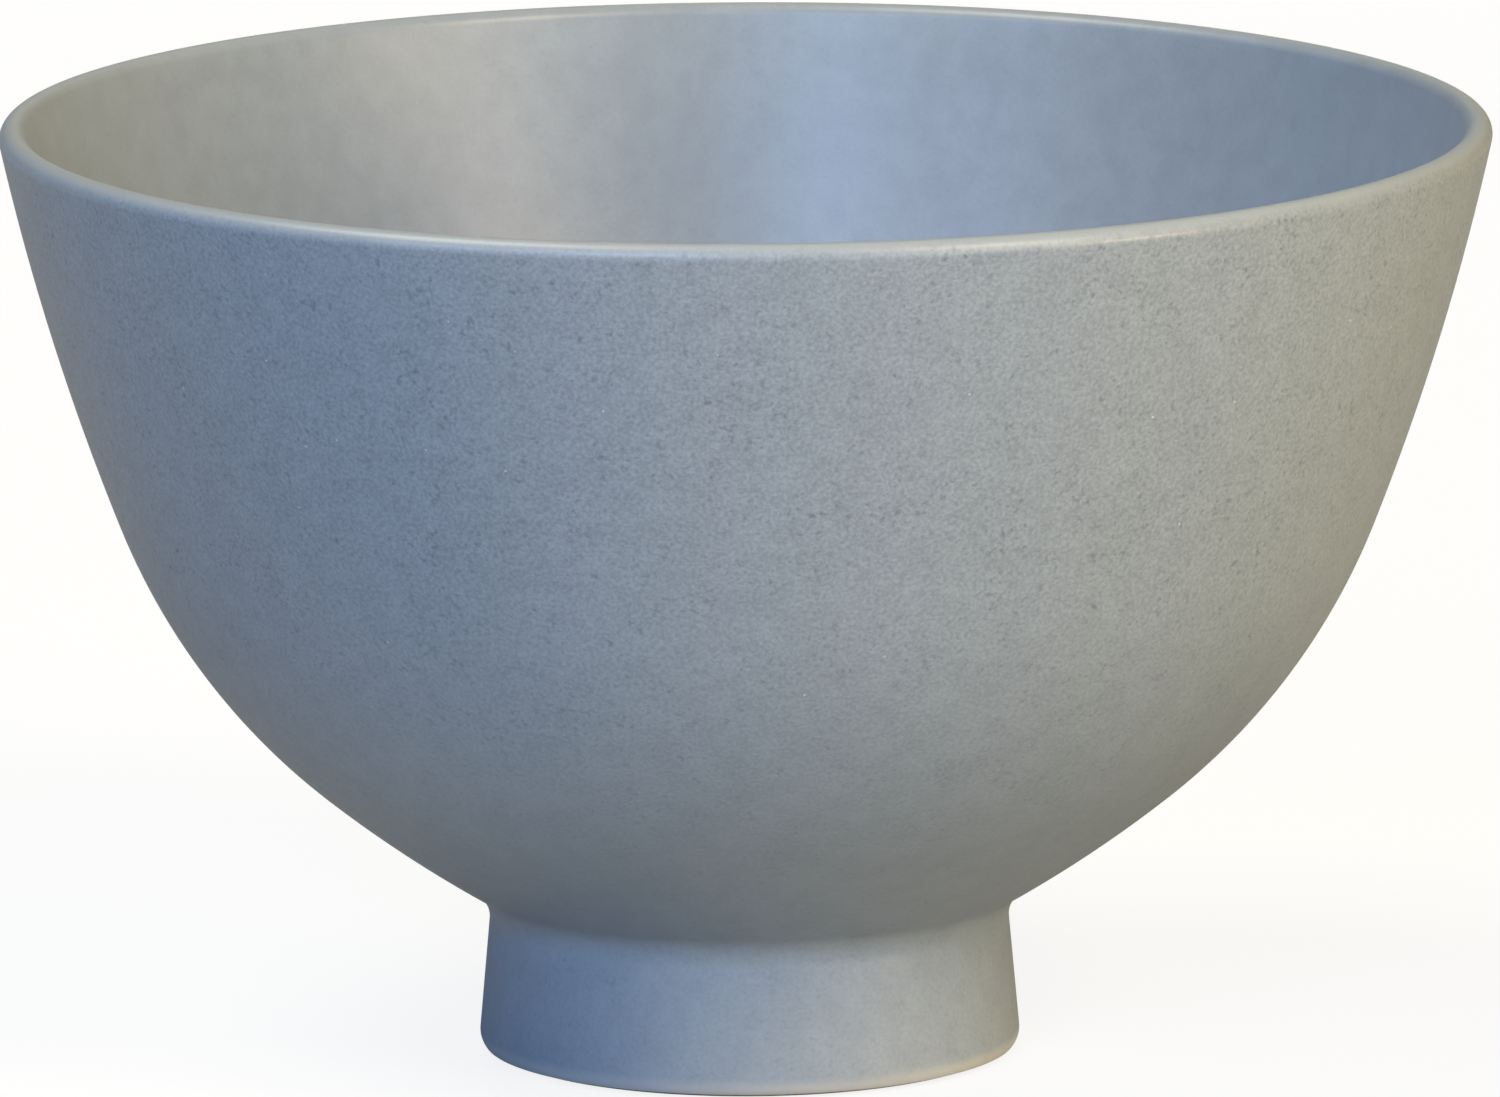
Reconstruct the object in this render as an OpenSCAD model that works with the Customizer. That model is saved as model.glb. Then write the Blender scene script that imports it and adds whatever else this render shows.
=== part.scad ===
// Footed latte bowl of glazed stoneware: a thin cup on a separate foot ring, luted with slip and glazed.
// Sizes are in millimetres, +Z is up, and the origin is the middle of the plane that the bowl stands on.
// Every piece is a turned form, so each module draws one half section from arcs and turns it about Z.

/* [Bowl] */
// Diameter over the lip
rim_d = 130; // [112:1:160]
// Height from the standing plane to the top of the lip
height = 82.3; // [72:0.1:98]
// Thickness of the wall at its full-round lip, glaze included
lip_t = 2.4; // [1.6:0.1:4]
// Thickness of the wall at the belly, glaze included
belly_t = 3.2; // [2.2:0.1:4.4]
// Thickness of the floor, glaze included
floor_t = 4.2; // [3:0.1:6]

/* [Profile] */
// Lean of the wall at the lip, in degrees from upright
lip_tilt = 12.2; // [9:0.1:16]
// Degrees through which the wall's arc turns
wall_sweep = 9.1; // [7:0.1:12]
// Degrees through which the belly's arc turns
belly_sweep = 29.5; // [24:0.1:36]
// Degrees through which the base's arc turns
base_sweep = 9.1; // [7:0.1:12]
// Radius of the belly's arc
belly_r = 57; // [44:0.5:70]

/* [Foot] */
// Diameter of the foot at the standing plane, before its edge is rounded
foot_d = 47.6; // [45.2:0.1:56]
// Diameter of the foot where it meets the bowl
foot_top_d = 45.2; // [38:0.1:47.6]
// Height at which the foot meets the bowl
foot_h = 13.3; // [10:0.1:17]
// Thickness of the foot's wall, glaze included
foot_t = 4.6; // [3.8:0.1:7]
// Rounding of the foot's outer edge, over the glaze
foot_edge_r = 1.9; // [0.9:0.1:2.2]
// Rounding of the foot's inner edge, over the glaze
recess_edge_r = 1.3; // [0.9:0.1:1.8]
// Fillet between the bowl and the outside of the foot
fillet_r = 3; // [1.5:0.1:5]
// Fillet between the bowl and the inside of the foot
recess_fillet_r = 2; // [1:0.1:3.5]

/* [Coats] */
// Thickness of the glaze
glaze_t = 0.3; // [0.15:0.05:0.5]
// Thickness of the slip between the cup and the foot ring
slip_t = 0.4; // [0.2:0.05:0.8]
// Height above the standing plane up to which the glaze is wiped off the foot
bare_h = 0.4; // [0.2:0.05:0.7]

/* [Hidden] */
$fn = 180;

// Furthest that a chord may stray from the arc that it follows
chord_gap = 0.004;

// A tilt is the angle at which a surface faces below the level: 0 faces outwards and 90 faces the ground
function facing(tilt) = [cos(tilt), -sin(tilt)];
function tilt_of(way) = atan2(-way[1], way[0]);
down = 90;
up = -90;
half_turn = 180;
full_turn = 360;

// An arc is its centre, its finished radius and the tilts at its two ends.
// A bulging arc has the clay on its centre's side, and a hollow one has it on the far side.
bulging = 1;
hollow = -1;
function arc(centre, radius, from, to, side = bulging) = [centre, radius, from, to, side];
function centre_of(a) = a[0];
function radius_of(a) = a[1];
function part_of(a, from, to) = arc(a[0], a[1], from, to, a[4]);

// Points along an arc at a given depth under its finished surface
function points(a, depth = 0) =
    let (
        count = ceil(abs(a[3] - a[2]) / (2 * acos(1 - chord_gap / radius_of(a)))),
        radius = radius_of(a) - a[4] * depth
    )
    [for (i = [0 : count]) centre_of(a) + radius * facing((a[2] * (count - i) + a[3] * i) / count)];
function path(arcs, depth = 0) = [for (a = arcs) each points(a, depth)];
function reversed(list) = [for (i = [len(list) - 1 : -1 : 0]) list[i]];

// A closed outline, with each point kept once where one arc runs into the next
function outline(list) = [
    for (i = [0 : len(list) - 1])
        if (norm(list[i] - list[(i + len(list) - 1) % len(list)]) > chord_gap) list[i]
];

// Tilts at which the arcs of the wall meet, from the lip to the foot
belly_tilt = lip_tilt + wall_sweep;
base_tilt = belly_tilt + belly_sweep;
foot_tilt = base_tilt + base_sweep;
tilts = [lip_tilt, belly_tilt, base_tilt, foot_tilt];

// Wall, belly, base and floor as four arcs that run smoothly into each other from the lip to the axis.
// The belly's radius is given. Those of the wall and the base follow from where the profile starts and ends,
// and the floor's arc is centred on the axis.
function profile(lip_end, foot_end, belly, side) =
    let (
        across = [for (i = [0 : 2]) cos(tilts[i]) - cos(tilts[i + 1])],
        along = [for (i = [0 : 2]) sin(tilts[i + 1]) - sin(tilts[i])],
        left = lip_end - foot_end - belly * [across[1], along[1]],
        det = across[0] * along[2] - across[2] * along[0],
        wall = (left[0] * along[2] - left[1] * across[2]) / det,
        base = (left[1] * across[0] - left[0] * along[0]) / det,
        floor_radius = foot_end[0] / cos(foot_tilt),
        wall_centre = lip_end - wall * facing(lip_tilt),
        belly_centre = wall_centre + (wall - belly) * facing(belly_tilt),
        base_centre = belly_centre + (belly - base) * facing(base_tilt),
        floor_centre = [0, foot_end[1] + floor_radius * sin(foot_tilt)]
    )
    [
        arc(wall_centre, wall, lip_tilt, belly_tilt, side),
        arc(belly_centre, belly, belly_tilt, base_tilt, side),
        arc(base_centre, base, base_tilt, foot_tilt, side),
        arc(floor_centre, floor_radius, foot_tilt, down, side)
    ];

// The two finished faces of the wall start on the round lip and end square across the wall above the foot
lip_r = lip_t / 2;
lip_centre = [rim_d / 2 - lip_r, height - lip_r];
foot_corner = [foot_top_d / 2, foot_h];
outer = profile(lip_centre + lip_r * facing(lip_tilt), foot_corner, belly_r, bulging);
outer_base = outer[2];
outer_floor = outer[3];
inner = profile(
    lip_centre - lip_r * facing(lip_tilt),
    foot_corner - floor_t * facing(foot_tilt),
    belly_r - belly_t,
    hollow
);

// The foot's two flanks are parallel and flare downwards
flare = atan2((foot_d - foot_top_d) / 2, foot_h);
flank_way = facing(down - flare);
flank_face = facing(-flare);
recess_corner = foot_corner - [foot_t, 0];
clay_corner = foot_corner - glaze_t * flank_face;
clay_recess_corner = recess_corner + glaze_t * flank_face;

// Where a line down the foot's flank leaves a circle
function crossing(centre, radius, point) =
    let (
        way = point - centre,
        run = way * flank_way
    )
    point + (sqrt(run * run - way * way + radius * radius) - run) * flank_way;

// Fillets between the bowl and the flanks, each touching an arc of the bowl from below
fillet_centre = crossing(
    centre_of(outer_base),
    radius_of(outer_base) + fillet_r,
    foot_corner + fillet_r * flank_face
);
fillet_tilt = tilt_of(fillet_centre - centre_of(outer_base));
fillet = arc(fillet_centre, fillet_r, half_turn + fillet_tilt, half_turn - flare, hollow);
recess_fillet_centre = crossing(
    centre_of(outer_floor),
    radius_of(outer_floor) + recess_fillet_r,
    recess_corner - recess_fillet_r * flank_face
);
recess_fillet_tilt = tilt_of(recess_fillet_centre - centre_of(outer_floor));
recess_fillet = arc(
    recess_fillet_centre,
    recess_fillet_r,
    full_turn - flare,
    half_turn + recess_fillet_tilt,
    hollow
);

// Underside of the bowl, from the glazed base over the stretch that the slip covers to the glazed recess
base_glazed = part_of(outer_base, base_tilt, fillet_tilt);
base_joined = part_of(outer_base, fillet_tilt, foot_tilt);
floor_joined = part_of(outer_floor, foot_tilt, recess_fillet_tilt);
floor_glazed = part_of(outer_floor, recess_fillet_tilt, down);

// Rounded edges of the foot: the clay touches the standing plane, and the glaze ends a little above it
function edge_centre(corner, face, radius) =
    [corner[0] - (radius + face[1] * (radius - corner[1])) / face[0], radius];
function bare_tilt(radius) = asin((radius - glaze_t - bare_h) / radius);
foot_edge_centre = edge_centre(clay_corner, flank_face, foot_edge_r - glaze_t);
foot_edge = arc(foot_edge_centre, foot_edge_r, -flare, bare_tilt(foot_edge_r));
foot_edge_bare = part_of(foot_edge, bare_tilt(foot_edge_r), down);
recess_edge_centre = edge_centre(clay_recess_corner, -flank_face, recess_edge_r - glaze_t);
recess_edge = arc(recess_edge_centre, recess_edge_r, half_turn - bare_tilt(recess_edge_r), half_turn - flare);
recess_edge_bare = part_of(recess_edge, down, half_turn - bare_tilt(recess_edge_r));

// Top of the foot ring, one slip thickness under the cup's clay
seat_r = radius_of(outer_floor) - glaze_t + slip_t;
seat = arc(
    centre_of(outer_floor),
    seat_r,
    tilt_of(crossing(centre_of(outer_floor), seat_r, clay_corner) - centre_of(outer_floor)),
    tilt_of(crossing(centre_of(outer_floor), seat_r, clay_recess_corner) - centre_of(outer_floor))
);

// Finished surfaces, each as a row of arcs
outside_face = [arc(lip_centre, lip_r, up, lip_tilt), outer[0], outer[1], base_glazed];
inside_face = concat([arc(lip_centre, lip_r, up, lip_tilt - half_turn)], inner);

// Ring or bowl with the given half section
module turned(section) {
    rotate_extrude()
        polygon(outline(section));
}

// Coat of glaze under a finished surface
module coat(arcs) {
    turned(concat(path(arcs), reversed(path(arcs, glaze_t))));
}

// Thin clay cup with a full-round lip, thickening from the lip to the floor
module bowl_cup() {
    outside = path(concat(outside_face, [base_joined, floor_joined, floor_glazed]), glaze_t);
    inside = path(inside_face, glaze_t);
    color("#d8d0c2")
        turned(concat(outside, reversed(inside)));
}

// Flared clay ring that carries the cup, its top cut to the curve of the cup's underside
module foot_ring() {
    edges = path([foot_edge, foot_edge_bare, recess_edge_bare, recess_edge], glaze_t);
    color("#cdc4b4")
        turned(concat(edges, reversed(points(seat))));
}

// Layer of slip between the cup and the foot ring, with a bead smoothed into the corner on either side
module luting_slip() {
    cup_side = path([base_joined, floor_joined], glaze_t);
    foot_side = concat(points(fillet, glaze_t), points(seat), points(recess_fillet, glaze_t));
    color("#bdb3a2")
        turned(concat(cup_side, reversed(foot_side)));
}

// Glaze of the inside, from the crest of the lip to the middle of the floor
module inside_glaze() {
    color("#98a3ad")
        coat(inside_face);
}

// Glaze of the outside, from the crest of the lip over the fillet and down the foot, short of the ground
module outside_glaze() {
    color("#939ca6")
        coat(concat(outside_face, [fillet, foot_edge]));
}

// Glaze of the recess under the bowl, from the foot's inner edge to the middle
module recess_glaze() {
    color("#8b949e")
        coat([recess_edge, recess_fillet, floor_glazed]);
}

bowl_cup();
foot_ring();
luting_slip();
inside_glaze();
outside_glaze();
recess_glaze();
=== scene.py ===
"""Visual model of a footed latte bowl in satin grey-blue glaze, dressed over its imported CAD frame.

Sizes in the classes are in millimetres and angles in degrees. Meshes are in metres, in the frame of the
CAD part: +Z is up and the origin is the middle of the plane that the bowl stands on.
"""

import logging
import math
from dataclasses import dataclass
from enum import Enum
from itertools import accumulate
from typing import Any

import bpy
from mathutils import Matrix, Vector

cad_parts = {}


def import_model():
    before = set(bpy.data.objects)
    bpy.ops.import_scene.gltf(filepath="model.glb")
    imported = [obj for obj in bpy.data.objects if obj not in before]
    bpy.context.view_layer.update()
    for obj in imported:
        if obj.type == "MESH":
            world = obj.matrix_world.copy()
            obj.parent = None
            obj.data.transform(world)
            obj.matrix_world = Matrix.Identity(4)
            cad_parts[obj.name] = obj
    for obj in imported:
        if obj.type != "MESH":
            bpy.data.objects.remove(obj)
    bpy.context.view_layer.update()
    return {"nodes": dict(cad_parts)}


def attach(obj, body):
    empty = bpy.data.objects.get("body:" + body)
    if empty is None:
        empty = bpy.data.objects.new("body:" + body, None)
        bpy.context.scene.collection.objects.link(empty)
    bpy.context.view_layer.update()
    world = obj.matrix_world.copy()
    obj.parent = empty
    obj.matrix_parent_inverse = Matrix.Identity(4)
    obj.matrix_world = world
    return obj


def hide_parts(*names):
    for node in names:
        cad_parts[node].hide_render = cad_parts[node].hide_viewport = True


Tree = bpy.types.NodeTree
Socket = bpy.types.NodeSocket

LOG = logging.getLogger("latte_bowl")
MM = 0.001
PHOTO_WIDTH = 1500

QUARTER_TURN = 90.0
HALF_TURN = 180.0
FULL_TURN = 360.0

# Tilts of a surface that faces straight up or down
UP = -QUARTER_TURN
DOWN = QUARTER_TURN

# Sockets by which a Mix node mixes two colours
MIX_SHARE = 0
MIX_FROM = 6
MIX_TO = 7
MIXED = 2


def linear(colour: str) -> tuple[float, float, float, float]:
    """Turn an sRGB hex colour into linear RGBA, by the curve that the sRGB standard gives.

    Args:
        colour: six hex digits after a hash sign.

    Returns:
        Red, green and blue in linear light, and an alpha of 1.
    """
    shares = [int(colour[i : i + 2], 16) / 255 for i in (1, 3, 5)]
    red, green, blue = (s / 12.92 if s <= 0.04045 else ((s + 0.055) / 1.055) ** 2.4 for s in shares)
    return red, green, blue, 1.0


def per_metre(size: float) -> float:
    """Return the scale at which a texture on Object coordinates has features of `size` millimetres."""
    return 1 / (size * MM)


def add_node(
    tree: Tree,
    kind: str,
    settings: dict[str, Any] | None = None,
    inputs: dict[str | int, Any] | None = None,
) -> bpy.types.Node:
    """Add a node, set its properties and feed its inputs.

    Args:
        tree: node tree that the node joins.
        kind: Blender's identifier of the node type.
        settings: values of the node's own properties.
        inputs: a value, or an output socket to link from, for each input socket by name or index.

    Returns:
        The new node.
    """
    node = tree.nodes.new(kind)
    for key, value in (settings or {}).items():
        setattr(node, key, value)
    for key, value in (inputs or {}).items():
        if isinstance(value, Socket):
            tree.links.new(value, node.inputs[key])
        else:
            node.inputs[key].default_value = value
    return node


def blank_material(name: str) -> bpy.types.Material:
    """Make a material whose node tree is empty.

    Args:
        name: name of the finish.

    Returns:
        The new material.
    """
    material = bpy.data.materials.new(name)
    material.use_nodes = True
    material.node_tree.nodes.clear()
    return material


def add_object(name: str, data: bpy.types.ID) -> bpy.types.Object:
    """Put a mesh, a lamp or a camera into the scene.

    Args:
        name: name of the object.
        data: what the object holds.

    Returns:
        The new object, at the origin.
    """
    placed = bpy.data.objects.new(name, data)
    bpy.context.scene.collection.objects.link(placed)
    return placed


def stand_for(piece: bpy.types.Object, node: str) -> None:
    """Let a piece ride on the bowl's one body, in the place of a CAD node.

    Args:
        piece: the finished piece.
        node: CAD node that it replaces.
    """
    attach(piece, "root")
    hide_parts(node)


class Side(Enum):
    """Side of an arc on which the clay lies: that of its centre, or the far one."""

    BULGING = 1
    HOLLOW = -1


def facing(tilt: float) -> Vector:
    """Return the direction, in radius and height, that faces `tilt` degrees below the level."""
    return Vector((math.cos(math.radians(tilt)), -math.sin(math.radians(tilt))))


def tilt_of(way: Vector) -> float:
    """Return how many degrees below the level a direction faces."""
    return math.degrees(math.atan2(-way[1], way[0]))


@dataclass(frozen=True)
class Arc:
    """Stretch of a circle in the half section, between two tilts of its surface."""

    centre: Vector
    radius: float
    start: float
    end: float
    side: Side = Side.BULGING

    def part(self, start: float, end: float) -> "Arc":
        """Return the stretch of the same circle between two other tilts."""
        return Arc(self.centre, self.radius, start, end, self.side)

    def points(self, depth: float, gap: float, turn: float) -> list[Vector]:
        """Step along the arc.

        Args:
            depth: how far under the finished surface the points lie.
            gap: furthest that a chord may stray from the arc.
            turn: most degrees between two points.

        Returns:
            Points as radius and height, from the arc's start to its end.
        """
        step = min(turn, math.degrees(2 * math.acos(1 - gap / self.radius)))
        count = math.ceil(abs(self.end - self.start) / step)
        radius = self.radius - self.side.value * depth
        tilts = (self.start + (self.end - self.start) * i / count for i in range(count + 1))
        return [self.centre + radius * facing(tilt) for tilt in tilts]


@dataclass(frozen=True)
class BowlForm:
    """Half section of the finished bowl, with the sizes that the CAD part is built from."""

    rim_d: float = 130.0
    height: float = 82.3
    lip_t: float = 2.4
    belly_t: float = 3.2
    floor_t: float = 4.2
    lip_tilt: float = 12.2
    wall_sweep: float = 9.1
    belly_sweep: float = 29.5
    base_sweep: float = 9.1
    belly_r: float = 57.0
    foot_d: float = 47.6
    foot_top_d: float = 45.2
    foot_h: float = 13.3
    foot_t: float = 4.6
    foot_edge_r: float = 1.9
    recess_edge_r: float = 1.3
    fillet_r: float = 3.0
    recess_fillet_r: float = 2.0
    glaze_t: float = 0.3
    slip_t: float = 0.4
    bare_h: float = 0.4

    @property
    def lip_r(self) -> float:
        """Radius of the full-round lip."""
        return self.lip_t / 2

    @property
    def lip_centre(self) -> Vector:
        """Centre of the lip's round."""
        return Vector((self.rim_d / 2 - self.lip_r, self.height - self.lip_r))

    @property
    def foot_corner(self) -> Vector:
        """Point where the base would meet the foot's outer flank without a fillet."""
        return Vector((self.foot_top_d / 2, self.foot_h))

    @property
    def recess_corner(self) -> Vector:
        """Point at the same height on the foot's inner flank."""
        return self.foot_corner - Vector((self.foot_t, 0))

    @property
    def flare(self) -> float:
        """Lean of the foot's flanks from upright."""
        return math.degrees(math.atan2((self.foot_d - self.foot_top_d) / 2, self.foot_h))

    @property
    def flank_face(self) -> Vector:
        """Direction that the foot's outer flank faces, opposite to its inner one."""
        return facing(-self.flare)

    @property
    def tilts(self) -> list[float]:
        """Tilts at which the arcs of the wall meet, from the lip to the foot."""
        return list(accumulate((self.lip_tilt, self.wall_sweep, self.belly_sweep, self.base_sweep)))

    def profile(self, lip_end: Vector, foot_end: Vector, belly: float, side: Side) -> list[Arc]:
        """Run wall, belly, base and floor smoothly into each other from the lip to the axis.

        Args:
            lip_end: point where the wall leaves the lip.
            foot_end: point above the foot's corner where the base becomes the floor.
            belly: radius of the belly's arc.
            side: side of the arcs on which the clay lies.

        Returns:
            The four arcs, from the lip down.
        """
        lip_tilt, belly_tilt, base_tilt, foot_tilt = self.tilts
        at_lip, at_belly, at_base, at_foot = (facing(tilt) for tilt in self.tilts)

        # The belly's radius is given, and those of the wall and the base follow from the two ends
        wall_run, belly_run, base_run = at_lip - at_belly, at_belly - at_base, at_base - at_foot
        left = lip_end - foot_end - belly * belly_run
        det = wall_run[0] * base_run[1] - base_run[0] * wall_run[1]
        wall = (left[0] * base_run[1] - left[1] * base_run[0]) / det
        base = (left[1] * wall_run[0] - left[0] * wall_run[1]) / det

        # The floor's arc is centred on the axis
        floor = foot_end[0] / at_foot[0]
        wall_centre = lip_end - wall * at_lip
        belly_centre = wall_centre + (wall - belly) * at_belly
        base_centre = belly_centre + (belly - base) * at_base
        floor_centre = foot_end - floor * at_foot
        return [
            Arc(wall_centre, wall, lip_tilt, belly_tilt, side),
            Arc(belly_centre, belly, belly_tilt, base_tilt, side),
            Arc(base_centre, base, base_tilt, foot_tilt, side),
            Arc(floor_centre, floor, foot_tilt, DOWN, side),
        ]

    def outer(self) -> list[Arc]:
        """Return the four arcs of the outside, from the lip to the axis."""
        lip_end = self.lip_centre + self.lip_r * facing(self.lip_tilt)
        return self.profile(lip_end, self.foot_corner, self.belly_r, Side.BULGING)

    @property
    def base(self) -> Arc:
        """Arc of the outside that comes down to the foot."""
        return self.outer()[2]

    @property
    def underside(self) -> Arc:
        """Arc of the outside that lies over the foot ring and its hollow."""
        return self.outer()[3]

    def inner(self) -> list[Arc]:
        """Draw the inside, with the wall's thickness taken off the outside at lip, belly and floor.

        Returns:
            Its four arcs, from the lip to the axis.
        """
        lip_end = self.lip_centre - self.lip_r * facing(self.lip_tilt)
        foot_end = self.foot_corner - self.floor_t * facing(self.tilts[-1])
        return self.profile(lip_end, foot_end, self.belly_r - self.belly_t, Side.HOLLOW)

    def crossing(self, centre: Vector, radius: float, point: Vector) -> Vector:
        """Find where a line down the foot's flank leaves a circle.

        Args:
            centre: centre of the circle.
            radius: its radius.
            point: a point on the line.

        Returns:
            The crossing as radius and height.
        """
        flank = facing(DOWN - self.flare)
        way = point - centre
        run = way.dot(flank)
        return point + (math.sqrt(run * run - way.dot(way) + radius * radius) - run) * flank

    def fillet(self) -> Arc:
        """Draw the fillet between the base and the foot's outer flank.

        Returns:
            The arc from the base down to the flank.
        """
        start = self.foot_corner + self.fillet_r * self.flank_face
        centre = self.crossing(self.base.centre, self.base.radius + self.fillet_r, start)
        top = HALF_TURN + tilt_of(centre - self.base.centre)
        return Arc(centre, self.fillet_r, top, HALF_TURN - self.flare, Side.HOLLOW)

    def recess_fillet(self) -> Arc:
        """Draw the fillet between the foot's inner flank and the underside.

        Returns:
            The arc from the flank up to the underside.
        """
        under = self.underside
        start = self.recess_corner - self.recess_fillet_r * self.flank_face
        centre = self.crossing(under.centre, under.radius + self.recess_fillet_r, start)
        top = HALF_TURN + tilt_of(centre - under.centre)
        return Arc(centre, self.recess_fillet_r, FULL_TURN - self.flare, top, Side.HOLLOW)

    def bare_tilt(self, radius: float) -> float:
        """Return the tilt at which the glaze stops on a foot's edge of that radius."""
        return math.degrees(math.asin((radius - self.glaze_t - self.bare_h) / radius))

    def foot_edge(self) -> Arc:
        """Return the foot's outer edge, from its flank to the standing plane."""
        centre = self.edge_centre(self.foot_corner, self.flank_face, self.foot_edge_r)
        return Arc(centre, self.foot_edge_r, -self.flare, DOWN)

    def recess_edge(self) -> Arc:
        """Return the foot's inner edge, from the standing plane to its flank."""
        centre = self.edge_centre(self.recess_corner, -self.flank_face, self.recess_edge_r)
        return Arc(centre, self.recess_edge_r, DOWN, HALF_TURN - self.flare)

    def edge_centre(self, corner: Vector, face: Vector, radius: float) -> Vector:
        """Centre an edge's round so that its clay touches the flank's clay and the standing plane.

        Args:
            corner: point on the glazed flank.
            face: direction that the flank faces.
            radius: radius of the glazed edge.

        Returns:
            The centre as radius and height.
        """
        clay = corner - self.glaze_t * face
        inner = radius - self.glaze_t
        return Vector((clay[0] - (inner + face[1] * (inner - clay[1])) / face[0], inner))

    def seat(self) -> Arc:
        """Draw the top of the foot ring, one slip thickness under the cup's clay.

        Returns:
            The arc from the outer to the inner flank.
        """
        centre = self.underside.centre
        radius = self.underside.radius - self.glaze_t + self.slip_t
        skin = self.glaze_t * self.flank_face
        outside, inside = (
            tilt_of(self.crossing(centre, radius, corner) - centre)
            for corner in (self.foot_corner - skin, self.recess_corner + skin)
        )
        return Arc(centre, radius, outside, inside)


@dataclass(frozen=True)
class Lathe:
    """Geometry Nodes tree that turns a half section about Z into a closed piece."""

    name: str = "turned_section"
    stations: int = 288

    # Edges that turn by less are shaded smooth, and points that lie closer become one
    crease: float = 35.0
    weld: float = 0.001

    # How far a chord may stray and turn, on surfaces that show and on hidden ones
    face_gap: float = 0.003
    face_turn: float = 4.0
    back_gap: float = 0.01
    back_turn: float = 9.0

    def tree(self) -> Tree:
        """Build the tree on a grid: its rows take the section's points, its columns go round the axis.

        Returns:
            The node group, with the inputs Section, Stations, Crease, Weld and Finish.
        """
        tree = bpy.data.node_groups.new(self.name, "GeometryNodeTree")
        for name, kind in (
            ("Section", "NodeSocketGeometry"),
            ("Stations", "NodeSocketInt"),
            ("Crease", "NodeSocketFloat"),
            ("Weld", "NodeSocketFloat"),
            ("Finish", "NodeSocketMaterial"),
        ):
            tree.interface.new_socket(name, in_out="INPUT", socket_type=kind)
        tree.interface.new_socket("Turned", in_out="OUTPUT", socket_type="NodeSocketGeometry")
        asked = add_node(tree, "NodeGroupInput").outputs

        # A row for each point of the section, and one column more than there are stations
        section = add_node(tree, "GeometryNodeAttributeDomainSize", inputs={"Geometry": asked["Section"]})
        rows = section.outputs["Point Count"]
        columns = add_node(tree, "ShaderNodeMath", {"operation": "ADD"}, {0: asked["Stations"], 1: 1.0})
        grid = add_node(
            tree,
            "GeometryNodeMeshGrid",
            inputs={"Size X": 1.0, "Size Y": 1.0, "Vertices X": rows, "Vertices Y": columns.outputs[0]},
        )

        # The grid lies half on either side of the origin, so its X gives the row
        place = add_node(tree, "GeometryNodeInputPosition").outputs[0]
        on_grid = add_node(tree, "ShaderNodeSeparateXYZ", inputs={0: place}).outputs
        last = add_node(tree, "ShaderNodeMath", {"operation": "SUBTRACT"}, {0: rows, 1: 1.0})
        middle = add_node(tree, "ShaderNodeMath", {"operation": "MULTIPLY"}, {0: last.outputs[0], 1: 0.5})
        row = add_node(
            tree,
            "ShaderNodeMath",
            {"operation": "MULTIPLY_ADD"},
            {0: on_grid["X"], 1: last.outputs[0], 2: middle.outputs[0]},
        )
        index = add_node(tree, "FunctionNodeFloatToInt", {"rounding_mode": "ROUND"}, {0: row.outputs[0]})
        point = add_node(
            tree,
            "GeometryNodeSampleIndex",
            {"data_type": "FLOAT_VECTOR", "domain": "POINT"},
            {"Geometry": asked["Section"], "Value": place, "Index": index.outputs[0]},
        )

        # Its Y gives the turn about the axis
        turn = add_node(
            tree,
            "ShaderNodeMath",
            {"operation": "MULTIPLY_ADD"},
            {0: on_grid["Y"], 1: math.tau, 2: math.pi},
        )
        turned = add_node(
            tree,
            "ShaderNodeVectorRotate",
            {"rotation_type": "Z_AXIS"},
            {"Vector": point.outputs[0], "Angle": turn.outputs[0]},
        )
        shell = add_node(
            tree,
            "GeometryNodeSetPosition",
            inputs={"Geometry": grid.outputs["Mesh"], "Position": turned.outputs[0]},
        )

        # Seam and poles are closed, and all but the sharp edges are shaded smooth
        welded = add_node(
            tree,
            "GeometryNodeMergeByDistance",
            inputs={"Geometry": shell.outputs[0], "Distance": asked["Weld"]},
        )
        rounded = add_node(
            tree,
            "GeometryNodeSetShadeSmooth",
            {"domain": "FACE"},
            {"Geometry": welded.outputs[0], "Shade Smooth": True},
        )
        angle = add_node(tree, "GeometryNodeInputMeshEdgeAngle").outputs["Unsigned Angle"]
        gentle = add_node(
            tree,
            "FunctionNodeCompare",
            {"data_type": "FLOAT", "operation": "LESS_THAN"},
            {0: angle, 1: asked["Crease"]},
        )
        creased = add_node(
            tree,
            "GeometryNodeSetShadeSmooth",
            {"domain": "EDGE"},
            {"Geometry": rounded.outputs[0], "Shade Smooth": gentle.outputs[0]},
        )
        real = add_node(tree, "GeometryNodeRealizeInstances", inputs={"Geometry": creased.outputs[0]})
        dressed = add_node(
            tree,
            "GeometryNodeSetMaterial",
            inputs={"Geometry": real.outputs[0], "Material": asked["Finish"]},
        )
        add_node(tree, "NodeGroupOutput", inputs={"Turned": dressed.outputs[0]})
        return tree

    def face(self, arcs: list[Arc], depth: float = 0.0) -> list[Vector]:
        """Return finely stepped points of a surface that shows, at a depth under the finished one."""
        return [point for arc in arcs for point in arc.points(depth, self.face_gap, self.face_turn)]

    def back(self, arcs: list[Arc], depth: float) -> list[Vector]:
        """Return coarser points of a hidden surface at a depth, in the other direction."""
        return [point for arc in arcs for point in arc.points(depth, self.back_gap, self.back_turn)][::-1]

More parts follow.
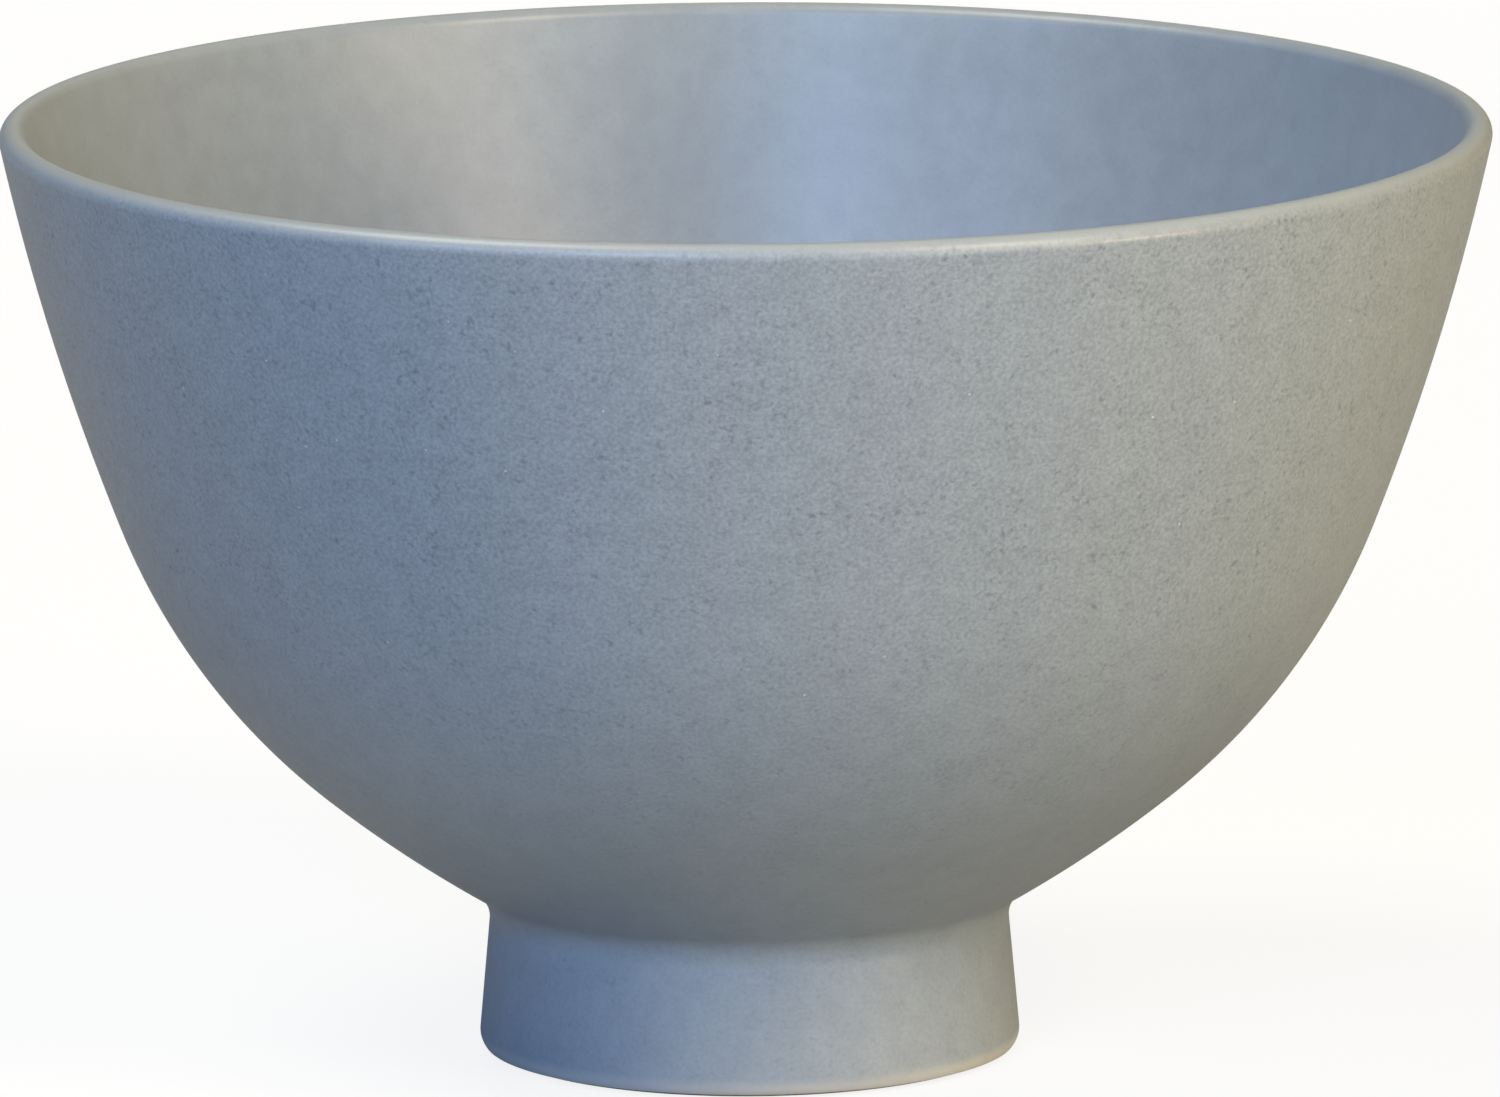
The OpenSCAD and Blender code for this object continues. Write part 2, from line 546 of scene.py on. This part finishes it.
    def turn(self, name: str, section: list[Vector], finish: bpy.types.Material) -> bpy.types.Object:
        """Turn a half section into a plain mesh object.

        Args:
            name: name of the piece.
            section: points as radius and height, with the finished surfaces on the left of the way. It
                starts and ends on the axis, or it ends at the point where it starts.
            finish: material of the piece.

        Returns:
            The piece at the origin, with its place in its mesh.
        """
        kept = [section[0]]
        for point in section[1:]:
            if (point - kept[-1]).length > self.weld:
                kept.append(point)
        line = bpy.data.meshes.new(name)
        steps = [(i, i + 1) for i in range(len(kept) - 1)]
        line.from_pydata([(point[0] * MM, 0.0, point[1] * MM) for point in kept], steps, [])
        piece = add_object(name, line)
        modifier = piece.modifiers.new("turned", "NODES")
        modifier.node_group = bpy.data.node_groups.get(self.name) or self.tree()
        values = {
            "Stations": self.stations,
            "Crease": math.radians(self.crease),
            "Weld": self.weld * MM,
            "Finish": finish,
        }
        for item in modifier.node_group.interface.items_tree:
            if item.name in values:
                modifier[item.identifier] = values[item.name]
        graph = bpy.context.evaluated_depsgraph_get()
        turned = bpy.data.meshes.new_from_object(piece.evaluated_get(graph), depsgraph=graph)
        turned.name = name
        # The grid brings an empty slot of its own
        turned.materials.pop(index=0)
        piece.modifiers.remove(modifier)
        piece.data = turned
        bpy.data.meshes.remove(line)
        return piece


@dataclass(frozen=True)
class ThinEdge:
    """Edge on which a glaze runs thin: the heights where it is full and thin, and its colour when thin."""

    full: float
    thin: float
    colour: str


@dataclass(frozen=True)
class SatinGlaze:
    """Satin stoneware glaze, sprayed over clay that carries a little iron.

    To the eye it is a milky half-matt glass: grey-blue, faintly clouded, with broad soft reflections and no
    hard highlight. A fine felt-like grain runs through it. Iron bled up from the clay adds soft dark mottles
    that gather in clusters, and both fade under the thicker coat lower down. Grains that did not melt leave a
    few white pinpricks. The coat breaks paler where it runs thin over an edge, and it is drier on the foot.
    On the foot's rim that paler band is also painted bounce light, as from a bright floor just below.
    """

    name: str
    edges: tuple[ThinEdge, ...]

    # Share of grain and mottles that shows at the calm height and below, and at the lively one and above
    liveliness: tuple[float, float] = (0.35, 1.0)
    calm_z: float = 14.0
    lively_z: float = 60.0

    # Grain and clouds, and the span that holds nearly all of their noise
    body: str = "#969ea6"
    pale: str = "#a3abb3"
    dark: str = "#899199"
    grain_mm: float = 0.36
    cloud_mm: float = 2.6
    cloud_share: float = 0.04
    noise_span: tuple[float, float] = (0.3, 0.7)

    # Mottles and their clusters: the spans of noise over which they come in, and their most and least cover
    mottle: str = "#666e77"
    mottle_mm: float = 0.55
    mottle_span: tuple[float, float] = (0.52, 0.78)
    mottle_cover: float = 0.7
    cluster_mm: float = 4.0
    cluster_span: tuple[float, float] = (0.35, 0.65)
    cluster_least: float = 0.15

    # How far the limit of a thin edge wanders, as a share of that edge's height
    wander: float = 0.3

    # Pinpricks: their spacing, radius and full core, and the liveliness over which they come in
    speck: str = "#ccd1d4"
    speck_mm: float = 3.6
    speck_r: float = 0.14
    speck_core: float = 0.5
    speck_span: tuple[float, float] = (0.4, 0.8)

    # Orange peel, and what mottles and the foot add to the roughness
    peel_mm: float = 0.7
    peel_h: float = 0.008
    roughness: float = 0.36
    mottle_dulling: float = 0.12
    foot_dulling: float = 0.2
    dull_z: float = 9.0
    ior: float = 1.5

    def grain(self, tree: Tree, place: Socket, lively: Socket) -> Socket:
        """Draw the felt-like grain, lighter and darker by turns, and the soft clouds of a sprayed coat.

        Args:
            tree: node tree of the material.
            place: Object coordinates.
            lively: how much of the grain shows.

        Returns:
            The colour.
        """
        grain = add_node(
            tree,
            "ShaderNodeTexNoise",
            inputs={"Vector": place, "Scale": per_metre(self.grain_mm), "Detail": 3.0, "Roughness": 0.6},
        )
        felt = add_node(
            tree,
            "ShaderNodeMapRange",
            inputs={
                "Value": grain.outputs[0],
                "From Min": self.noise_span[0],
                "From Max": self.noise_span[1],
            },
        )
        grained = add_node(
            tree,
            "ShaderNodeMix",
            {"data_type": "RGBA"},
            {MIX_SHARE: felt.outputs[0], MIX_FROM: linear(self.dark), MIX_TO: linear(self.pale)},
        )
        calmed = add_node(
            tree,
            "ShaderNodeMix",
            {"data_type": "RGBA"},
            {MIX_SHARE: lively, MIX_FROM: linear(self.body), MIX_TO: grained.outputs[MIXED]},
        )
        clouds = add_node(
            tree,
            "ShaderNodeTexNoise",
            inputs={"Vector": place, "Scale": per_metre(self.cloud_mm), "Detail": 1.0, "Roughness": 0.5},
        )
        shade = add_node(
            tree,
            "ShaderNodeMapRange",
            inputs={
                "Value": clouds.outputs[0],
                "From Min": self.noise_span[0],
                "From Max": self.noise_span[1],
                "To Min": 1.0 - self.cloud_share,
                "To Max": 1.0 + self.cloud_share,
            },
        )
        clouded = add_node(
            tree,
            "ShaderNodeHueSaturation",
            inputs={"Value": shade.outputs[0], "Color": calmed.outputs[MIXED]},
        )
        return clouded.outputs[0]

    def mottles(self, tree: Tree, place: Socket, cluster: Socket, lively: Socket) -> Socket:
        """Draw the soft dark mottles, stronger in some clusters than in others.

        Args:
            tree: node tree of the material.
            place: Object coordinates.
            cluster: noise of the clusters.
            lively: how much of the mottles shows.

        Returns:
            How far the mottles cover the coat.
        """
        strength = add_node(
            tree,
            "ShaderNodeMapRange",
            {"interpolation_type": "SMOOTHSTEP"},
            {
                "Value": cluster,
                "From Min": self.cluster_span[0],
                "From Max": self.cluster_span[1],
                "To Min": self.cluster_least,
                "To Max": 1.0,
            },
        )
        blots = add_node(
            tree,
            "ShaderNodeTexNoise",
            inputs={"Vector": place, "Scale": per_metre(self.mottle_mm), "Detail": 2.0, "Roughness": 0.55},
        )
        spots = add_node(
            tree,
            "ShaderNodeMapRange",
            {"interpolation_type": "SMOOTHSTEP"},
            {
                "Value": blots.outputs[0],
                "From Min": self.mottle_span[0],
                "From Max": self.mottle_span[1],
                "To Min": 0.0,
                "To Max": self.mottle_cover,
            },
        )
        shown = spots.outputs[0]
        for share in (strength.outputs[0], lively):
            shown = add_node(
                tree,
                "ShaderNodeMath",
                {"operation": "MULTIPLY"},
                {0: shown, 1: share},
            ).outputs[0]
        return shown

    def thinness(self, tree: Tree, height: Socket, cluster: Socket, edge: ThinEdge) -> Socket:
        """Find where the coat runs thin over an edge, with an uneven limit, which on the foot also paints
        bounce light.

        Args:
            tree: node tree of the material.
            height: height above the standing plane.
            cluster: noise by which the limit wanders.
            edge: the edge.

        Returns:
            How thin the coat is.
        """
        limit = add_node(
            tree,
            "ShaderNodeMath",
            {"operation": "MULTIPLY_ADD"},
            {0: cluster, 1: self.wander * (edge.full - edge.thin) * MM, 2: height},
        )
        thinness = add_node(
            tree,
            "ShaderNodeMapRange",
            {"interpolation_type": "SMOOTHSTEP"},
            {"Value": limit.outputs[0], "From Min": edge.full * MM, "From Max": edge.thin * MM},
        )
        return thinness.outputs[0]

    def pinpricks(self, tree: Tree, place: Socket, lively: Socket) -> Socket:
        """Scatter a few white pinpricks, where the grain is lively.

        Args:
            tree: node tree of the material.
            place: Object coordinates.
            lively: how much of the grain shows.

        Returns:
            How far the pinpricks cover the coat.
        """
        seed = add_node(
            tree,
            "ShaderNodeTexVoronoi",
            inputs={"Vector": place, "Scale": per_metre(self.speck_mm)},
        )
        prick = add_node(
            tree,
            "ShaderNodeMapRange",
            {"interpolation_type": "SMOOTHSTEP"},
            {
                "Value": seed.outputs["Distance"],
                "From Min": self.speck_r / self.speck_mm,
                "From Max": self.speck_core * self.speck_r / self.speck_mm,
            },
        )
        showing = add_node(
            tree,
            "ShaderNodeMapRange",
            inputs={"Value": lively, "From Min": self.speck_span[0], "From Max": self.speck_span[1]},
        )
        pricked = add_node(
            tree,
            "ShaderNodeMath",
            {"operation": "MULTIPLY"},
            {0: prick.outputs[0], 1: showing.outputs[0]},
        )
        return pricked.outputs[0]

    def surface(self, tree: Tree, place: Socket, height: Socket, mottled: Socket) -> dict[str, Socket]:
        """Give the coat a faint orange peel, and a sheen that is duller on the mottles and on the foot.

        Args:
            tree: node tree of the material.
            place: Object coordinates.
            height: height above the standing plane.
            mottled: how far the mottles cover the coat.

        Returns:
            What feeds the shader's roughness and its normal.
        """
        peel = add_node(
            tree,
            "ShaderNodeTexNoise",
            inputs={"Vector": place, "Scale": per_metre(self.peel_mm), "Detail": 2.0, "Roughness": 0.5},
        )
        bump = add_node(
            tree,
            "ShaderNodeBump",
            inputs={"Strength": 1.0, "Distance": self.peel_h * MM, "Height": peel.outputs[0]},
        )
        sheen = add_node(
            tree,
            "ShaderNodeMapRange",
            {"interpolation_type": "SMOOTHSTEP"},
            {
                "Value": height,
                "From Min": self.calm_z * MM,
                "From Max": self.dull_z * MM,
                "To Min": self.roughness,
                "To Max": self.roughness + self.foot_dulling,
            },
        )
        dullness = add_node(
            tree,
            "ShaderNodeMath",
            {"operation": "MULTIPLY_ADD"},
            {0: mottled, 1: self.mottle_dulling, 2: sheen.outputs[0]},
        )
        return {"Roughness": dullness.outputs[0], "Normal": bump.outputs[0]}

    def material(self) -> bpy.types.Material:
        """Build the finish on Object coordinates, layer over layer.

        Returns:
            The material.
        """
        material = blank_material(self.name)
        tree = material.node_tree
        place = add_node(tree, "ShaderNodeTexCoord").outputs["Object"]
        height = add_node(tree, "ShaderNodeSeparateXYZ", inputs={0: place}).outputs["Z"]
        lively = add_node(
            tree,
            "ShaderNodeMapRange",
            {"interpolation_type": "SMOOTHSTEP"},
            {
                "Value": height,
                "From Min": self.calm_z * MM,
                "From Max": self.lively_z * MM,
                "To Min": self.liveliness[0],
                "To Max": self.liveliness[1],
            },
        ).outputs[0]
        cluster = add_node(
            tree,
            "ShaderNodeTexNoise",
            inputs={"Vector": place, "Scale": per_metre(self.cluster_mm), "Detail": 2.0, "Roughness": 0.6},
        ).outputs[0]
        mottled = self.mottles(tree, place, cluster, lively)

        # What lies over the grain, from the lowest to the uppermost, and its tint
        tints = [
            (mottled, self.mottle),
            *((self.thinness(tree, height, cluster, edge), edge.colour) for edge in self.edges),
            (self.pinpricks(tree, place, lively), self.speck),
        ]
        colour = self.grain(tree, place, lively)
        for share, tint in tints:
            colour = add_node(
                tree,
                "ShaderNodeMix",
                {"data_type": "RGBA"},
                {MIX_SHARE: share, MIX_FROM: colour, MIX_TO: linear(tint)},
            ).outputs[MIXED]
        shader = add_node(
            tree,
            "ShaderNodeBsdfPrincipled",
            inputs={
                "Base Color": colour,
                "IOR": self.ior,
                **self.surface(tree, place, height, mottled),
            },
        )
        add_node(tree, "ShaderNodeOutputMaterial", inputs={"Surface": shader.outputs[0]})
        return material


@dataclass(frozen=True)
class FiredClay:
    """Stoneware clay, turned and fired, left bare.

    To the eye it is a dry buff body without gloss: sandy grains of ground fired clay a little darker than the
    rest, a few iron spots, and the fine tooth that a wiped edge has.
    """

    name: str
    body: str = "#cbbfaa"

    # Sandy grains, and the span of their noise over which they come in
    dark: str = "#b3a58d"
    grain_mm: float = 0.6
    grain_span: tuple[float, float] = (0.4, 0.68)

    # Iron spots: their spacing, radius and full core
    iron: str = "#6b5138"
    iron_mm: float = 1.7
    iron_r: float = 0.16
    iron_core: float = 0.4

    # Tooth of the dry surface, drawn a little coarser than real grit so that it shows
    tooth_mm: float = 0.3
    tooth_h: float = 0.03
    roughness: float = 0.9
    ior: float = 1.5

    def material(self) -> bpy.types.Material:
        """Build the finish on Object coordinates.

        Returns:
            The material.
        """
        material = blank_material(self.name)
        tree = material.node_tree
        place = add_node(tree, "ShaderNodeTexCoord").outputs["Object"]
        grains = add_node(
            tree,
            "ShaderNodeTexNoise",
            inputs={"Vector": place, "Scale": per_metre(self.grain_mm), "Detail": 3.0, "Roughness": 0.65},
        )
        sandy = add_node(
            tree,
            "ShaderNodeMapRange",
            {"interpolation_type": "SMOOTHSTEP"},
            {
                "Value": grains.outputs[0],
                "From Min": self.grain_span[0],
                "From Max": self.grain_span[1],
            },
        )
        seed = add_node(
            tree,
            "ShaderNodeTexVoronoi",
            inputs={"Vector": place, "Scale": per_metre(self.iron_mm)},
        )
        spot = add_node(
            tree,
            "ShaderNodeMapRange",
            {"interpolation_type": "SMOOTHSTEP"},
            {
                "Value": seed.outputs["Distance"],
                "From Min": self.iron_r / self.iron_mm,
                "From Max": self.iron_core * self.iron_r / self.iron_mm,
            },
        )
        colour = linear(self.body)
        for share, tint in ((sandy, self.dark), (spot, self.iron)):
            colour = add_node(
                tree,
                "ShaderNodeMix",
                {"data_type": "RGBA"},
                {MIX_SHARE: share.outputs[0], MIX_FROM: colour, MIX_TO: linear(tint)},
            ).outputs[MIXED]
        tooth = add_node(
            tree,
            "ShaderNodeTexNoise",
            inputs={"Vector": place, "Scale": per_metre(self.tooth_mm), "Detail": 3.0, "Roughness": 0.7},
        )
        bump = add_node(
            tree,
            "ShaderNodeBump",
            inputs={"Strength": 1.0, "Distance": self.tooth_h * MM, "Height": tooth.outputs[0]},
        )
        shader = add_node(
            tree,
            "ShaderNodeBsdfPrincipled",
            inputs={
                "Base Color": colour,
                "Roughness": self.roughness,
                "IOR": self.ior,
                "Normal": bump.outputs[0],
            },
        )
        add_node(tree, "ShaderNodeOutputMaterial", inputs={"Surface": shader.outputs[0]})
        return material


@dataclass
class ClayBody:
    """The clay under the glaze: cup, foot ring and the slip that joins them."""

    form: BowlForm
    lathe: Lathe
    bare: FiredClay = FiredClay("bare_stoneware_clay")
    covered: FiredClay = FiredClay("glazed_over_stoneware_clay")
    slip: FiredClay = FiredClay("fired_slip", body="#c3b7a1", dark="#b6a992", grain_mm=0.25, tooth_h=0.01)

    def foot(self) -> bpy.types.Object:
        """Turn the foot ring, which shows bare where the bowl stands.

        Returns:
            The ring.
        """
        around = self.lathe.face([self.form.foot_edge(), self.form.recess_edge()], self.form.glaze_t)
        section = [*around, *self.lathe.back([self.form.seat()], 0.0), around[0]]
        return self.lathe.turn("clay_foot_ring", section, self.bare.material())

    def build(self, nodes: dict[str, bpy.types.Object]) -> list[bpy.types.Object]:
        """Make the foot ring and dress the CAD nodes that lie under the glaze.

        Args:
            nodes: the frame's CAD objects by node name.

        Returns:
            The foot ring, the cup and the slip.
        """
        foot = self.foot()
        stand_for(foot, "foot_ring")
        hidden = {"bowl_cup": self.covered, "luting_slip": self.slip}
        for node, finish in hidden.items():
            slots = nodes[node].data.materials
            slots.clear()
            slots.append(finish.material())
        return [foot, *(nodes[node] for node in hidden)]


@dataclass
class GlazeCoats:
    """The three coats of glaze: inside, outside with the foot, and the recess under the bowl."""

    form: BowlForm
    lathe: Lathe
    bead_steps: int = 8

    # Edges that the coats run thin on, and the calmer grain of the inside
    lip_outside: ThinEdge = ThinEdge(80.4, 82.3, "#a2a9ae")
    lip_inside: ThinEdge = ThinEdge(82.0, 82.3, "#a2a9ae")
    # The foot's rim is paler partly from a real glaze break and partly as painted bounce light from the floor
    # below
    foot_rim_break_and_bounce: ThinEdge = ThinEdge(2.2, 0.7, "#cccac7")
    inside_liveliness: tuple[float, float] = (0.1, 0.16)

    def bead(self, surface: Vector, way: Vector) -> list[Vector]:
        """Round off the rim of a coat, where it was wiped back from the standing edge.

        Args:
            surface: last point of the finished surface.
            way: direction from there to the clay, at right angles to the surface.

        Returns:
            Points of a half circle from the surface to the clay, on the left of `way`.
        """
        radius = self.form.glaze_t / 2
        centre = surface + radius * way
        ahead = Vector((way[1], -way[0]))
        turns = (math.pi * i / self.bead_steps for i in range(1, self.bead_steps))
        return [centre + radius * (math.sin(t) * ahead - math.cos(t) * way) for t in turns]

    def inside(self) -> bpy.types.Object:
        """Turn the coat of the inside, from the crest of the lip to the middle of the floor.

        Returns:
            The coat.
        """
        form, lathe = self.form, self.lathe
        arcs = [Arc(form.lip_centre, form.lip_r, UP, form.lip_tilt - HALF_TURN), *form.inner()]
        section = lathe.face(arcs)[::-1] + lathe.back(arcs, form.glaze_t)[::-1]
        glaze = SatinGlaze(
            "satin_glaze_inside",
            (self.lip_inside,),
            liveliness=self.inside_liveliness,
            foot_dulling=0.0,
        )
        return lathe.turn("inside_glaze_coat", section, glaze.material())

    def outside(self) -> bpy.types.Object:
        """Turn the coat of the outside, from the crest of the lip over the fillet and down the foot.

        Returns:
            The coat.
        """
        form, lathe = self.form, self.lathe
        wall, belly, base, _ = form.outer()
        fillet, edge = form.fillet(), form.foot_edge()
        stop = form.bare_tilt(form.foot_edge_r)
        arcs = [
            Arc(form.lip_centre, form.lip_r, UP, form.lip_tilt),
            wall,
            belly,
            base.part(base.start, fillet.start - HALF_TURN),
            fillet,
            edge.part(edge.start, stop),
        ]
        face, back = lathe.face(arcs), lathe.back(arcs, form.glaze_t)
        section = [*face, *self.bead(face[-1], -facing(stop)), *back, face[0]]
        # Its foot rim band is partly painted bounce light
        glaze = SatinGlaze("satin_glaze_outside", (self.lip_outside, self.foot_rim_break_and_bounce))
        return lathe.turn("outside_glaze_coat", section, glaze.material())

    def recess(self) -> bpy.types.Object:
        """Turn the coat of the hollow under the bowl, from the foot's inner edge to the middle.

        Returns:
            The coat.
        """
        form, lathe = self.form, self.lathe
        edge, fillet = form.recess_edge(), form.recess_fillet()
        stop = HALF_TURN - form.bare_tilt(form.recess_edge_r)
        arcs = [edge.part(stop, edge.end), fillet, form.underside.part(fillet.end - HALF_TURN, DOWN)]
        face, back = lathe.face(arcs), lathe.back(arcs, form.glaze_t)
        section = [*back, *self.bead(face[0], -facing(stop))[::-1], *face]
        # The foot rim band here is also partly painted bounce light
        glaze = SatinGlaze("satin_glaze_recess", (self.foot_rim_break_and_bounce,))
        return lathe.turn("recess_glaze_coat", section, glaze.material())

    def build(self) -> list[bpy.types.Object]:
        """Make the three coats and put each in the place of its CAD node.

        Returns:
            The coats.
        """
        coats = {
            "inside_glaze": self.inside(),
            "outside_glaze": self.outside(),
            "recess_glaze": self.recess(),
        }
        for node, coat in coats.items():
            stand_for(coat, node)
        return list(coats.values())


@dataclass(frozen=True)
class Softbox:
    """Square soft lamp that faces the bowl, at an azimuth and an elevation from there."""

    name: str
    azimuth: float
    elevation: float
    side: float
    colour: str
    watts: float
    mirrored: bool = True
    distance: float = 1500.0
    target: tuple[float, float, float] = (0.0, 0.0, 45.0)

    def place(self) -> None:
        """Add the lamp to the scene."""
        lamp = bpy.data.lights.new(self.name, "AREA")
        lamp.shape = "SQUARE"
        lamp.size = self.side * MM
        lamp.energy = self.watts
        lamp.color = linear(self.colour)[:3]
        around, above = math.radians(self.azimuth), math.radians(self.elevation)
        reach = math.cos(above)
        way = Vector((math.cos(around) * reach, math.sin(around) * reach, math.sin(above)))
        holder = add_object(self.name, lamp)
        holder.location = (Vector(self.target) + self.distance * way) * MM
        holder.rotation_euler = way.to_track_quat("Z", "Y").to_euler()
        holder.visible_camera = False
        holder.visible_glossy = self.mirrored


@dataclass
class Studio:
    """Pale floor, white surroundings and soft lamps: a cool window on the left, warm light from the right."""

    floor_side: float = 4000.0
    floor_drop: float = 0.05
    floor_colour: str = "#a0a09e"

    # White that the camera sees, how much of it veils the floor, and the share that reflections show
    white: str = "#ffffff"
    floor_veil: float = 0.85
    gloss_share: float = 0.1

    # Each lamp's name, azimuth, elevation, side, colour and watts
    lamps: tuple[Softbox, ...] = (
        Softbox("cool_window_left", -135.0, 25.0, 450.0, "#9dc0ff", 4.28),
        Softbox("cool_window", -105.0, 25.0, 450.0, "#92c2ff", 9.46),
        Softbox("low_front", -60.0, 5.0, 300.0, "#e9fffd", 3.37),
        Softbox("warm_low", -30.0, 5.0, 300.0, "#ffe2ac", 7.71),
        Softbox("warm_key", -45.0, 25.0, 450.0, "#ffeacb", 5.82),
        Softbox("warm_top", -45.0, 45.0, 450.0, "#ffe6b0", 10.59),
        Softbox("high_left", 180.0, 65.0, 700.0, "#fff8dc", 12.64),
        Softbox("back_fill", 90.0, 10.0, 450.0, "#ffffff", 10.0, mirrored=False),
    )

    def seen(self, tree: Tree) -> Socket:
        """Find how much of the white shows: all to the camera, a share in reflections, none as light.

        Args:
            tree: node tree of the floor or the world.

        Returns:
            The share.
        """
        rays = add_node(tree, "ShaderNodeLightPath").outputs
        shown = add_node(
            tree,
            "ShaderNodeMath",
            {"operation": "MULTIPLY"},
            {0: rays["Is Glossy Ray"], 1: self.gloss_share},
        )
        for kind in ("Is Camera Ray", "Is Transmission Ray"):
            shown = add_node(
                tree,
                "ShaderNodeMath",
                {"operation": "MAXIMUM"},
                {0: shown.outputs[0], 1: rays[kind]},
            )
        return shown.outputs[0]

    def paper(self) -> bpy.types.Material:
        """Make matt paper that the camera sees white, with a soft shadow on it.

        Returns:
            The floor's material.
        """
        material = blank_material("matt_studio_paper")
        tree = material.node_tree
        rays = add_node(tree, "ShaderNodeLightPath").outputs
        tone = add_node(
            tree,
            "ShaderNodeMix",
            {"data_type": "RGBA"},
            {
                MIX_SHARE: rays["Is Camera Ray"],
                MIX_FROM: linear(self.floor_colour),
                MIX_TO: linear(self.white),
            },
        )
        paper = add_node(tree, "ShaderNodeBsdfDiffuse", inputs={"Color": tone.outputs[MIXED]})
        white = add_node(
            tree,
            "ShaderNodeEmission",
            inputs={"Color": linear(self.white), "Strength": 1.0},
        )
        veil = add_node(
            tree,
            "ShaderNodeMath",
            {"operation": "MULTIPLY"},
            {0: self.seen(tree), 1: self.floor_veil},
        )
        mixed = add_node(
            tree,
            "ShaderNodeMixShader",
            inputs={0: veil.outputs[0], 1: paper.outputs[0], 2: white.outputs[0]},
        )
        add_node(tree, "ShaderNodeOutputMaterial", inputs={"Surface": mixed.outputs[0]})
        return material

    def floor(self) -> None:
        """Lay the floor a hair under the foot."""
        half, level = self.floor_side / 2 * MM, -self.floor_drop * MM
        corners = [(x, y, level) for x, y in ((-half, -half), (half, -half), (half, half), (-half, half))]
        mesh = bpy.data.meshes.new("studio_floor")
        mesh.from_pydata(corners, [], [(0, 1, 2, 3)])
        mesh.materials.append(self.paper())
        add_object("studio_floor", mesh)

    def surroundings(self) -> None:
        """Make the world white where it is seen, and leave the light on the bowl to the lamps."""
        world = bpy.data.worlds.new("white_studio")
        bpy.context.scene.world = world
        world.use_nodes = True
        tree = world.node_tree
        tree.nodes.clear()
        white = add_node(
            tree,
            "ShaderNodeBackground",
            inputs={"Color": linear(self.white), "Strength": self.seen(tree)},
        )
        add_node(tree, "ShaderNodeOutputWorld", inputs={"Surface": white.outputs[0]})

    def build(self) -> None:
        """Set up the floor, the surroundings and the lamps."""
        self.floor()
        self.surroundings()
        for lamp in self.lamps:
            lamp.place()
        bpy.context.scene.view_settings.view_transform = "Standard"


@dataclass(frozen=True)
class PhotoCamera:
    """Camera at the photograph's viewing angle, from a fit of the bowl's outline to it."""

    place: tuple[float, float, float] = (0.206, -1821.25, 386.16)
    pitch: float = 10.6325
    roll: float = -0.2602
    focal_px: float = 21201.79
    sensor: float = 36.0

    def build(self) -> None:
        """Add the camera and make it the scene's own."""
        camera = bpy.data.cameras.new("photo_camera")
        camera.sensor_fit = "HORIZONTAL"
        camera.sensor_width = self.sensor
        camera.lens = self.focal_px / PHOTO_WIDTH * self.sensor
        holder = add_object("photo_camera", camera)
        # Without a turn the camera would look straight down
        holder.matrix_world = (
            Matrix.Translation(Vector(self.place) * MM)
            @ Matrix.Rotation(math.radians(QUARTER_TURN - self.pitch), 4, "X")
            @ Matrix.Rotation(math.radians(self.roll), 4, "Z")
        )
        bpy.context.scene.camera = holder


def main() -> None:
    """Load the frame, build and report the pieces on it, and set up the studio and the camera."""
    logging.basicConfig(level=logging.INFO, format="%(name)s: %(message)s")
    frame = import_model()
    form, lathe = BowlForm(), Lathe()
    for piece in [*ClayBody(form, lathe).build(frame["nodes"]), *GlazeCoats(form, lathe).build()]:
        LOG.info("%s: %d faces, %s", piece.name, len(piece.data.polygons), piece.data.materials[0].name)
    Studio().build()
    PhotoCamera().build()


if __name__ == "__main__":
    main()
